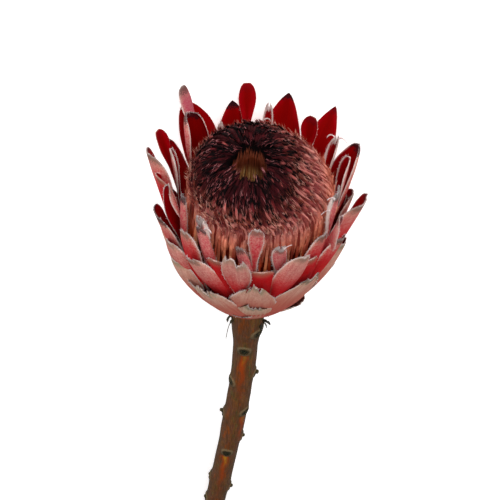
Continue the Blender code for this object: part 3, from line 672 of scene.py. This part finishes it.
def bractSheet(bract):
    # The middle surface on a grid of t (root to tip) and u (margin to margin): across each place on the
    # line lies an arc that bends with the curl of the head and the roll of the margins, and the end is torn
    # by a length that varies with u. Also gives directions, half widths and the distance to the margin.
    rows, columns, seed = sheets["rows"], sheets["columns"], bract["seed"]
    t = 1 - (1 - np.linspace(0, 1, rows + 1)) ** 1.25
    u = np.sin(np.linspace(-1, 1, columns + 1) * np.pi / 2)
    t, u = np.meshgrid(t, u, indexing="ij")
    coarse, fine = sheets["tearPaces"]
    tear = bract["torn"] * (waver(u, seed, coarse) + 0.5 * waver(u, seed + 90, fine))
    tear = tear * smoothStep(0.55, 1, t)
    place = t * (1 + tear)
    centre = bractLine(bract, place)
    along = unit(bractLine(bract, place + 0.004) - bractLine(bract, place - 0.004))
    radius = np.hypot(centre[..., 0], centre[..., 1])
    around = together(-centre[..., 1], centre[..., 0], 0.0) / radius[..., None]
    side = unit(around - along * (around * along).sum(-1, keepdims=True))
    outward = np.cross(side, along)
    twist = np.radians(bract["twist"]) * smoothStep(0.4, 1, t)[..., None]
    cos, sin = np.cos(twist), np.sin(twist)
    side, outward = side * cos + outward * sin, outward * cos - side * sin
    half = 0.5 * bract["width"] * widthShare(bract, t)
    uneven = sheets["uneven"] * waver(t * 6 + np.sign(u) * 9, seed + 30)
    half = half * (1 + uneven * smoothStep(0.2, 0.6, t))
    curl = radius * (1 - bract["curlLoss"] * t) + bract["curlGain"] * t
    roll = bract["roll"] * smoothStep(0.15, 0.75, t)
    turn = half * u / curl + roll * np.sign(u) * np.abs(u) ** bract["cup"]
    step = np.diff(u, axis=1) * half[:, 1:]
    middle = (turn[:, 1:] + turn[:, :-1]) / 2
    arcs = [np.pad(np.cumsum(way(middle) * step, axis=1), ((0, 0), (1, 0))) for way in (np.cos, np.sin)]
    reach, sink = (arc - arc[:, columns // 2, None] for arc in arcs)
    bend = bract["bend"] * smoothStep(0.7, 1.15, t) * 3
    wave = bract["wave"] * u * u * waver(t * 7 + np.sign(u) * 4, seed + 60) * smoothStep(0.3, 0.8, t)
    points = centre + side * reach[..., None] + outward * (bend + wave - sink)[..., None]
    normal = unit(np.cross(np.gradient(points, axis=1), np.gradient(points, axis=0)) + 1e-4 * outward)
    length = math.dist(bract["root"], bract["tip"]) * 1.1
    margin = np.minimum(half * (1 - np.abs(u)), (1 - t) * length)
    return {"points": points, "normal": normal, "side": side, "along": along, "margin": margin, "t": t,
            "u": u, "half": half, "length": length}


def bractPart(bract, sheet):
    # The sheet with a thickness that thins towards margins and tip: outer face, inner face and closed rim
    rows, columns = sheets["rows"], sheets["columns"]
    t, u, wide = sheet["t"], sheet["u"], columns + 1
    thick = 0.5 * sheets["thickness"] * (1 - 0.4 * t) * (1 - 0.7 * np.abs(u) ** 5)
    lift = sheet["normal"] * thick[..., None]
    points = np.stack((sheet["points"] + lift, sheet["points"] - lift)).reshape(-1, 3)
    count = (rows + 1) * wide
    grid = gridFaces(rows, columns)
    foot, left = np.arange(columns), np.arange(rows) * wide
    end, right = foot + rows * wide, left + columns
    edges = ((foot, foot + 1), (right, right + wide), (end + 1, end), (left + wide, left))
    rim = [np.stack((b, a, a + count, b + count), axis=1) for a, b in edges]
    black = bract["black"] * np.random.default_rng(bract["seed"] + 500).uniform(0.4, 1.2)
    values = {"along": t, "flush": t - bract["blush"], "across": u, "margin": sheet["margin"],
              "black": black, "row": bract["row"], "wool": bract["wool"], "dusk": bract["dusk"]}
    layers = {key: np.tile(np.broadcast_to(value, t.shape).ravel(), 2) for key, value in values.items()}
    pattern = together(u * sheet["half"], t * sheet["length"], bract["seed"] * 7.3)
    layers["pattern"] = np.tile(pattern.reshape(-1, 3), (2, 1))
    faces = [grid, grid[:, ::-1] + count] + rim
    return {"points": points, "faces": faces, "layers": layers, "looks": [0, 1, 0, 0, 0, 0]}


def cupPart():
    # The thin ring that the bracts' roots make together, as a closed profile turned round the axis
    inner, outer = cupProfile(cup["gap"]), cupProfile(cup["gap"] + cup["wall"])
    profile = np.concatenate((inner, outer[::-1]))
    points = polar(profile[:, :1], turns(cup["sides"]), profile[:, 1:]).reshape(-1, 3)
    count = len(points)
    faces = (gridFaces(len(profile), cup["sides"], closed=True) % count)[:, ::-1]
    values = {"along": 0.1, "flush": 0.1, "across": 0, "margin": 6.0, "black": 0, "row": 0, "wool": 0,
              "dusk": 0}
    layers = {key: np.full(count, value, float) for key, value in values.items()}
    return {"points": points, "faces": [faces], "layers": {**layers, "pattern": points}}


# The wool: hairs for each millimetre of margin and wool, their length, half thickness at each stop, and how
# far up a bract they begin; then the threads on each blade that has more wool than "above".
fringe = {"perMillimetre": 3.4, "length": (0.3, 0.9), "thickness": (0.05, 0.04, 0.01), "from": 0.3,
          "sides": 3}
wisp = {"above": 2, "each": 2, "length": (4, 7.5), "turn": (2.2, 4.2), "width": (0.35, 0.6), "stops": 12,
        "sides": 5}


def fringePart(made, bracts, draw):
    # Fine curved hairs that stand on the margins: the margin is one line up the left side, over the end and
    # down the right side, and each hair leaves it outwards, bent a little towards the tip
    first = int(sheets["rows"] * fringe["from"])

    def marginOf(values):
        return np.concatenate((values[first:, 0], values[-1, 1:-1], values[first:, -1][::-1]))

    found = []
    for bract, sheet in zip(bracts, made):
        away = sheet["side"] * np.sign(sheet["u"])[..., None] * (sheet["t"] < 1)[..., None]
        steps = pathSteps(marginOf(sheet["points"]))
        spots = draw.uniform(0, steps[-1], int(steps[-1] * fringe["perMillimetre"] * bract["wool"]))
        share = 0.15 + 0.85 * np.interp(spots, steps, marginOf(sheet["t"])) ** 2
        spots = spots[draw.random(len(spots)) < share]
        values = [marginOf(value) for value in (sheet["points"], sheet["along"], sheet["normal"], away)]
        columns = np.concatenate(values, axis=1).T
        found.append(np.stack([np.interp(spots, steps, column) for column in columns], axis=1))
    line, up, outward, away = np.split(np.concatenate(found), 4, axis=1)
    shape = line.shape
    aim = unit(0.7 * away + 0.8 * up + draw.normal(0, 0.5, shape))
    long = draw.uniform(*fringe["length"], (len(line), 1))
    droop = draw.normal(0, 0.5, shape) * long
    stops = (line - 0.1 * aim, line + 0.55 * aim * long + 0.1 * droop, line + aim * long + 0.4 * droop)
    thick = np.array(fringe["thickness"])
    tint = draw.random((len(line), 1))
    return strandPart(np.stack(stops, axis=1), outward[:, None], thick, thick, fringe["sides"], tint=tint)


def wispPart(made, bracts, draw):
    # Pale threads that curl off the ends of the woolliest blades: each runs on from the end and bends round
    t = np.linspace(0, 1, wisp["stops"])[:, None]
    wisps = []
    for bract, sheet in zip(bracts, made):
        for _ in range(wisp["each"] if bract["wool"] > wisp["above"] else 0):
            column = int(draw.integers(3, sheets["columns"] - 3))
            row = -1 - int(draw.integers(0, 9))
            spot = (sheet[key][row, column] for key in ("points", "along", "side", "normal"))
            start, along, side, outward = spot
            long, turn = draw.uniform(*wisp["length"]), draw.uniform(*wisp["turn"])
            way = draw.choice((-1, 1))
            bend = along * np.sin(turn * t) + way * side * (1 - np.cos(turn * t))
            path = start + long / turn * bend - outward * draw.uniform(-0.3, 1.6) * t * t
            width = draw.uniform(*wisp["width"]) * (1 - 0.75 * t[:, 0]) * (1 + 0.3 * np.sin(9 * t[:, 0]))
            wisps.append((path, outward[None], width))
    paths, outs, widths = (np.array(values) for values in zip(*wisps))
    return strandPart(paths, outs, widths, widths * 0.4, wisp["sides"], tint=0.35 + 0.5 * widths)


def woolMask(look, grain, width):
    # White wool along the margins, wider on the woolliest blades, with a broken inner edge
    margin = look.plus("margin", look.times(grain, 2.4))
    margin = look.plus(look.plus(margin, look.times("wool", -0.6)), -0.2)
    return look.times(look.between(margin, width + 0.75, width + 0.15), "wool")


def blackMask(look, blotch):
    # Dark withered spots near the end of a bract
    near = look.between("along", 0.91, 1.0)
    spots = look.between(look.plus(near, look.times(blotch, 0.35)), 0.80, 0.98)
    return look.times(spots, "black")


def bractFelt():
    # Outer faces: dusty pink felt, red at the base, with grey-green ends; beige on the lowest rows
    look = Look("bractFelt", 0.9, 0.03)
    veins = look.use(streaks, Scale=1.1, Stretch=0.07)
    felt = look.use(mottle, Scale=0.8, Grain=3.5)
    fine = look.use(mottle, Scale=2.0, Grain=6.0)
    look.colour = look.ramp("along", (0.0, 150, 64, 50), (0.6, 190, 124, 104), (1.0, 190, 168, 138))
    high = look.ramp("flush", (0.68, 188, 3, 12), (0.79, 194, 40, 46), (0.88, 194, 98, 92),
                     (1.0, 202, 134, 122))
    look.coat(look.between("row", 1.4, 2.8), high)
    spoon = look.ramp("flush", (0.5, 186, 4, 14), (0.78, 196, 36, 52), (1.0, 200, 80, 92))
    look.coat(look.between("row", 3.2, 3.9), spoon)
    calm = look.between("flush", 0.70, 0.92, 0.06, 1.0)
    look.coat(look.times(felt["Mask"], look.times(calm, 0.25)), (226, 176, 160))
    look.coat(look.times(fine["Mask"], look.times(calm, 0.42)), (232, 184, 168))
    look.coat(veins["Mask"], (160, 36, 44), 0.30)
    look.coat("dusk", (150, 62, 82))
    rimmed = look.times(look.between("margin", 1.8, 0.3), fine["Mask"])
    look.coat(rimmed, (190, 168, 144), 0.5)
    ended = look.times(look.between("along", 0.93, 1.0), look.between("row", 2.2, 3.2, 0.7, 0.35))
    look.coat(ended, (158, 148, 116))
    look.coat(woolMask(look, fine["Height"], 0.35), (228, 208, 200))
    look.coat(blackMask(look, fine["Mask"]), (44, 20, 32))
    return look.finish(look.plus(look.times(veins["Height"], 0.8), fine["Height"]), 0.55, 0.0005)


def bractSatin():
    # Inner faces: crimson satin, darker down the middle, redder at the margins, with painted shade in dull
    # brown on the lowest rows
    look = Look("bractSatin", 0.6, 0.03)
    veins = look.use(streaks, Scale=1.0, Stretch=0.05)
    fine = look.use(mottle, Scale=1.6, Grain=8.0)
    look.colour = look.ramp("along", (0.0, 176, 20, 14), (0.5, 152, 0, 2), (0.8, 130, 0, 0),
                            (1.0, 124, 0, 0))
    aside = look.maths("ABSOLUTE", "across")
    look.coat(look.between(aside, 0.55, 0.0, 0.0, 0.35), (98, 0, 0))
    look.coat(look.between("margin", 3.0, 0.4, 0.0, 0.5), (160, 2, 20))
    look.coat(veins["Mask"], (112, 0, 2), 0.3)
    # Painted shade: the inner faces of the two lowest rows are a dull dark brown so that they read as
    # shaded gaps
    look.coat(look.between("row", 1.9, 1.2), (92, 48, 40))
    look.coat(woolMask(look, fine["Height"], 0.1), (218, 196, 192))
    look.coat(blackMask(look, fine["Mask"]), (40, 14, 20))
    return look.finish(veins["Height"], 0.35, 0.0004)


def fringeLook():
    # Pale wool, with a few dark hairs
    look = Look("bractWool", 0.7, 0.2, Sheen_Weight=0.3, Sheen_Roughness=0.5)
    look.colour = look.ramp("tint", (0.0, 92, 60, 76), (0.14, 176, 140, 146), (0.5, 216, 196, 194),
                            (1.0, 238, 226, 222))
    return look.finish()


def makeBracts():
    bracts = layOutBracts()
    made = [bractSheet(bract) for bract in bracts]
    parts = [bractPart(bract, sheet) for bract, sheet in zip(bracts, made)]
    looks = [bractFelt(), bractSatin()]
    names = ("outer_bracts", "outer_bracts", "middle_bracts", "broad_bracts", "spoon_bracts")
    for name in dict.fromkeys(names):
        blades = [part for bract, part in zip(bracts, parts) if names[bract["row"]] == name]
        makePiece(name, "bracts", blades + [cupPart()] * (name == "outer_bracts"), looks, sharpAngle=60)
    wool = fringePart(made, bracts, np.random.default_rng(33))
    wisps = wispPart(made, bracts, np.random.default_rng(34))
    makePiece("bract_fringe", "bracts", [wool, wisps], [fringeLook()])


# Stem, from the head down. cutRings are the rings of the cut face as shares of its radius, collar and lid
# the (radius, height) below and above the receptacle's side, ridges how many of each go round the stem.
stem = {
    "length": 206.0, "radius": 5.5, "neckRadius": 7.2, "neckLength": 26.0, "bendFrom": 30.0,
    "bendEase": 60.0, "bend": 0.10, "cutSlope": 0.35, "cutLength": 7.0, "rings": 520, "sides": 80,
    "ridges": (3, 5, 7, 9, 12, 15, 19, 23, 28, 33), "ridgeHeight": 0.085,
    "cutRings": (0.12, 0.4, 0.7, 0.9, 0.97), "collar": (7.2, 3.2), "lid": (9.0, 16.0),
}
# Leaf scars: distance down the stem, azimuth, length of the dry stub on it, strength of the streak below.
leafScars = (
    (12, 20, 0.6, 0.2), (14, 140, 0.8, 0.3), (10, 318, 0.9, 0.2), (23, 266, 0.3, 1.0), (33, 96, 0.8, 0.5),
    (46, 352, 2.2, 0.2), (52, 208, 1.0, 0.2), (68, 70, 0.8, 0.6), (84, 176, 2.4, 0.2), (76, 316, 0.7, 1.0),
    (99, 112, 0.9, 0.6), (105, 356, 1.8, 0.2), (115, 264, 0.2, 1.2), (140, 60, 1.2, 0.6),
    (151, 170, 1.2, 0.3), (159, 352, 2.0, 0.3), (174, 186, 1.4, 0.3), (186, 284, 0.8, 0.8),
    (196, 70, 0.9, 0.5),
)
# A scar's half sizes, how far its cushion and the bark round it swell, how deep its face is sunk, and where
# the streak below it starts, how wide it is and over what length it fades.
scarShape = {"half": (2.3, 2.6), "cushion": 0.8, "around": 0.3, "sunk": 0.5, "streakFrom": 3.4,
             "streakWidth": 1.7, "streakFade": 20}
# Torn scraps of bark under the head: distance down, azimuth, length, width, how far they stand out.
barkShreds = (
    (2, 200, 3.0, 2.6, 2.6), (3, 212, 2.4, 3.0, 1.6), (4, 188, 3.6, 1.8, 2.4), (5, 326, 2.0, 3.0, 1.5),
    (3, 338, 1.0, 2.2, 4.2), (6, 345, 2.6, 1.8, 2.6), (9, 322, 2.2, 2.4, 1.0), (5, 204, 12.0, 0.5, 3.2),
    (7, 355, 1.6, 1.2, 3.2), (4, 100, 5.0, 3.0, 2.2), (4, 60, 4.4, 2.6, 2.6), (4, 140, 5.0, 3.0, 2.4),
    (3, 20, 4.0, 2.6, 2.6),
)


def stemMiddle(down):
    # The centreline runs straight at first, then bends off to the left
    past = np.maximum(down - stem["bendFrom"], 0)
    bent = -stem["bend"] * past * past / (past + stem["bendEase"])
    return together(bent, 0.0, -down)


def stemRadius(down):
    neck = 1 - smoothStep(0, stem["neckLength"], down)
    ripple = 0.12 * np.sin(down / 11) + 0.08 * np.sin(down / 4.7)
    return stem["radius"] + ripple * (1 - neck) + (stem["neckRadius"] - stem["radius"]) * neck


def barkRelief(angle, down):
    # Long low ridges: waves round the stem that drift as they run along it
    draw = np.random.default_rng(5)
    ridges = 0
    for count in stem["ridges"]:
        strength, drift, start = draw.uniform(0.4, 1), draw.uniform(14, 60), draw.uniform(0, 6.28)
        ridges = ridges + strength * np.sin(count * angle + down / drift + start) / count ** 0.7
    return stem["ridgeHeight"] * ridges


def scarMasks(angle, down, low, azimuth, orange):
    # A leaf scar: a cushion with a sunk rough face, a lip round it, and a streak that wanders down from it.
    # aside and below are distances from its middle, and near is the share of its half sizes
    turn = (angle - math.radians(azimuth) + np.pi) % (2 * np.pi) - np.pi
    aside, below = turn * stem["radius"], down - low
    near = np.sqrt((aside / scarShape["half"][0]) ** 2 + (below / scarShape["half"][1]) ** 2)
    rough = 0.13 * np.sin(4.1 * aside + low) * np.sin(3.3 * below + 2 * low)
    bump = scarShape["cushion"] * np.exp(-(near / 1.2) ** 4)
    bump = bump + scarShape["around"] * np.exp(-(near / 2.2) ** 2)
    under = below - scarShape["streakFrom"]
    wide = aside + 0.5 * np.sin(under / 2.6 + low)
    trail = np.exp(-(wide / scarShape["streakWidth"]) ** 2) * smoothStep(-0.8, 1.2, under)
    trail = trail * np.exp(-np.maximum(under, 0) / scarShape["streakFade"])
    return {"swell": bump - (scarShape["sunk"] + 2 * rough) * np.exp(-(near / 0.75) ** 6),
            "scar": np.exp(-((near + rough) / 0.86) ** 8), "lip": np.exp(-((near - 1.16) / 0.2) ** 2),
            "streak": orange * trail, "green": np.exp(-(near / 1.8) ** 2)}


def makeStem():
    # Rings along a bent line from the cut end to the head: their radius swells to ridges and to a cushion
    # at every leaf scar, and the last few millimetres are sheared to a slanted end
    sides, length, shares = stem["sides"], stem["length"], stem["cutRings"]
    angle = turns(sides)
    down = np.linspace(length, 0, stem["rings"])[:, None]
    radius = stemRadius(down) + 0 * angle
    masks = dict.fromkeys(("swell", "scar", "lip", "streak", "green"), 0 * radius)
    for low, azimuth, _, orange in leafScars:
        found = scarMasks(angle, down, low, azimuth, orange)
        masks = {key: np.maximum(mask, found[key]) for key, mask in masks.items()}
    radius = radius + masks.pop("swell") + barkRelief(angle, down) * (1 - 0.6 * masks["scar"])
    middle = stemMiddle(down)
    points = middle + polar(radius, angle, 0.0)
    slant = stem["cutSlope"] * (points[..., 1] - 0.4 * (points[..., 0] - middle[..., 0]))
    points[..., 2] += smoothStep(length - stem["cutLength"], length, down) * slant
    face = points[0] - middle[0]
    cut = [middle[0] + face * share + (0, 0, 0.25 * (1 - share)) for share in shares]
    top = [polar(reach, angle, height) for reach, height in (stem["collar"], *receptacle, stem["lid"])]
    skin, walls, foot, lid = closedTurn(np.concatenate((cut, points, top)))
    beyond = ((len(cut), len(top)), (0, 0))
    layers = {key: np.append(np.pad(mask, beyond), (0, 0)) for key, mask in masks.items()}
    bark = np.ones((len(points) + len(top)) * sides)
    layers["ring"] = np.concatenate((np.repeat(shares, sides), bark, (0, 0)))
    # the pattern runs on the skin itself, so it closes round the stem
    layers["pattern"] = skin
    cutFaces = len(cut) * sides
    part = {"points": skin, "faces": [walls[:cutFaces], foot, walls[cutFaces:], lid], "layers": layers,
            "looks": [1, 1, 0, 0]}
    makePiece("stem_bark", "stem", [part], [barkLook(), woodLook()], sharpAngle=50)


def barkLook():
    # Brown bark with long rusty and olive patches, painted shade that darkens it towards its outline,
    # black-green scars in pale rings, and streaks below them that go from yellow to red
    look = Look("bark", 0.7, 0.06)
    pattern = look.layer("pattern", "Vector")
    turned = look.add("ShaderNodeMapping", Vector=pattern, Rotation=(math.pi / 2, 0, 0)).outputs[0]
    fibres = look.use(streaks, turned, Scale=1.6, Stretch=0.06)
    patches = look.use(streaks, turned, Scale=0.24, Stretch=0.3)
    spots = look.use(mottle, turned, Scale=0.6, Grain=3.0)
    look.colour = look.ramp(patches["Height"], (0.36, 102, 84, 44), (0.44, 128, 78, 36),
                            (0.52, 116, 72, 50), (0.62, 148, 72, 16))
    look.coat(fibres["Mask"], (56, 32, 14), 0.6)
    look.coat(spots["Mask"], (78, 54, 26), 0.35)
    look.coat("green", (66, 62, 40), 0.65)
    trail = look.ramp("streak", (0.0, 134, 54, 10), (0.6, 160, 62, 6), (1.0, 176, 118, 20))
    broken = look.between(patches["Height"], 0.40, 0.56, 0.45, 1.0)
    look.coat(look.times(look.between("streak", 0.05, 0.5), broken), trail)
    ring = look.times("lip", look.between(spots["Height"], 0.40, 0.62, 0.35, 1.0))
    look.coat(ring, (136, 122, 92), 0.8)
    flecks = look.between(spots["Height"], 0.56, 0.66)
    look.coat("scar", look.blend(flecks, (22, 24, 14), (96, 92, 66)))
    # Painted shade: the colour darkens where the surface turns away from the camera, at the stem's outline
    facing = look.add("ShaderNodeLayerWeight", Blend=0.35).outputs["Facing"]
    look.coat(look.between(facing, 0.30, 0.85, 0.0, 0.75), (40, 34, 10))
    return look.finish(look.plus(fibres["Height"], look.times(spots["Height"], 0.4)), 0.8, 0.0010)


def grainLook(name, roughness, specular, value, stops, scale, strength, depth):
    # A plain colour ramp over a layer of values, with a bump of noise
    look = Look(name, roughness, specular)
    look.colour = look.ramp(value, *stops)
    return look.finish(look.noise(look.layer("pattern", "Vector"), scale), strength, depth)


def woodLook():
    # The cut end: pale damp wood, a brown pith and a dark rim of bark
    stops = ((0.0, 110, 78, 48), (0.2, 188, 158, 112), (0.8, 170, 140, 92), (0.95, 88, 60, 36))
    return grainLook("cutWood", 0.7, 0.25, "ring", stops, 2.5, 0.5, 0.0005)


# Stubs and scraps: how finely they are divided, how deep a stub is rooted, and half of a scrap's thickness.
stubs = {"stops": 9, "sides": 8, "rooted": 0.8, "scrap": 0.16}


def stemSpot(down, azimuth, lift=0.0):
    # A spot on the stem's skin, or lifted off it, and the way outwards there
    down, outward = np.float64(down), polar(1.0, math.radians(azimuth), 0.0)
    return stemMiddle(down) + outward * (stemRadius(down) + lift), outward


def makeStubs():
    # Dry leaf-stalk stubs on the scars, and torn ribbons of bark that curl out under the head
    draw = np.random.default_rng(12)
    stops, up = stubs["stops"], np.array((0, 0, 1.0))
    t = np.linspace(0, 1, stops)[:, None]
    strips = []
    for low, azimuth, stub, _ in leafScars:
        skin, outward = stemSpot(low, azimuth)
        out = (1.2 + 0.8 * stub) * t - stubs["rooted"]
        path = skin + outward * out + up * (0.3 * stub * t ** 1.5)
        width = (0.6 + 0.4 * stub) * (1 - 0.5 * t[:, 0] ** 2) * (1 + 0.15 * draw.normal(size=stops))
        strips.append((path, up[None], width, width * 0.8, 0.2 + 0.5 * t[:, 0]))
    for low, azimuth, long, wide, curl in barkShreds:
        root, outward = stemSpot(low, azimuth, -0.3)
        side = polar(1.0, math.radians(azimuth) + np.pi / 2, 0.0)
        path = root + outward * curl * t ** 0.7 + side * draw.normal(0, 0.8) * t ** 2
        path = path + up * (0.8 * np.sin(3.1 * t) - long * t ** 1.6)
        width = 0.5 * wide * (1 - 0.7 * t[:, 0]) * draw.uniform(0.5, 1.4, stops)
        depth, tint = np.full(stops, stubs["scrap"]), np.full(stops, 0.5 * draw.random())
        strips.append((path, outward[None], width, depth, tint))
    paths, outs, widths, depths, tints = (np.array(values) for values in zip(*strips))
    part = strandPart(paths, outs, widths, depths, stubs["sides"], tint=tints)
    part["layers"]["pattern"] = part["points"]
    stops = ((0.0, 26, 26, 14), (0.5, 52, 48, 26), (1.0, 90, 74, 46))
    look = grainLook("dryShreds", 0.8, 0.2, "tint", stops, 1.8, 0.6, 0.0006)
    makePiece("stubs_and_shreds", "stem", [part], [look])


# Studio: the camera looks down at the lying bloom, at the angle to it that the photograph has. Each light
# has a name, a place, a size and a power.
studio = {
    "tilt": math.radians(50.0), "roll": math.radians(4.0), "cameraAt": (-0.94, -269.97, 361.8),
    "lens": 75.6,
    "lights": (("key", (0.32, 0.95, 0.85), 0.7, 9.0), ("fill", (-0.7, 0.4, 0.75), 0.9, 3.0),
               ("top", (-0.15, 1.25, 0.35), 0.8, 6.0)),
    "lightsAimAt": (0, 0.09, 0.03), "ambient": 0.42, "floorSize": 3.0, "floorGlow": 0.55,
}


def makeStudio():
    scene = bpy.context.scene
    tilt, roll = studio["tilt"], studio["roll"]
    back = np.array((0, -math.cos(tilt), math.sin(tilt)))
    level = np.array((1.0, 0, 0))
    climb = np.cross(back, level)
    right = math.cos(roll) * level + math.sin(roll) * climb
    up = math.cos(roll) * climb - math.sin(roll) * level
    camera = bpy.data.objects.new("camera", bpy.data.cameras.new("camera"))
    camera.data.lens = studio["lens"]
    camera.data.clip_end = 20
    pose = Matrix(np.column_stack((right, up, back, studio["cameraAt"])).tolist()).to_4x4()
    laid = Matrix.Rotation(lying["pitch"] - math.pi / 2, 4, "X")
    pose = Matrix.Translation(lying["headAt"]) @ laid @ pose
    pose.translation *= millimetre
    camera.matrix_world = pose
    scene.collection.objects.link(camera)
    scene.camera = camera

    for name, place, size, power in studio["lights"]:
        light = bpy.data.objects.new(name, bpy.data.lights.new(name, "AREA"))
        light.data.size = size
        light.data.energy = power
        spot = Matrix.Translation(place)
        towards = Matrix.Translation(studio["lightsAimAt"]).translation - spot.translation
        light.matrix_world = spot @ towards.to_track_quat("-Z", "Y").to_matrix().to_4x4()
        scene.collection.objects.link(light)
    world = bpy.data.worlds.new("studio")
    world.use_nodes = True
    sky = world.node_tree.nodes["Background"]
    sky.inputs["Color"].default_value = (1, 1, 1, 1)
    sky.inputs["Strength"].default_value = studio["ambient"]
    scene.world = world
    scene.view_settings.view_transform = "Standard"

    size = studio["floorSize"]
    corners = [(-size, -size, 0), (size, -size, 0), (size, size, 0), (-size, size, 0)]
    mesh = bpy.data.meshes.new("floor")
    mesh.from_pydata(corners, [], [(0, 1, 2, 3)])
    glow = {"Emission_Color": (255, 255, 255), "Emission_Strength": studio["floorGlow"]}
    look = Look("paleFloor", 0.8, 0.1, **glow)
    look.shader.inputs["Base Color"].default_value = (0.86, 0.86, 0.86, 1)
    mesh.materials.append(look.material)
    floor = bpy.data.objects.new("floor", mesh)
    scene.collection.objects.link(floor)


makeStudio()
makeStem()
makeStubs()
makeBracts()
makeFlorets()
makeBristles()

bpy.context.view_layer.update()
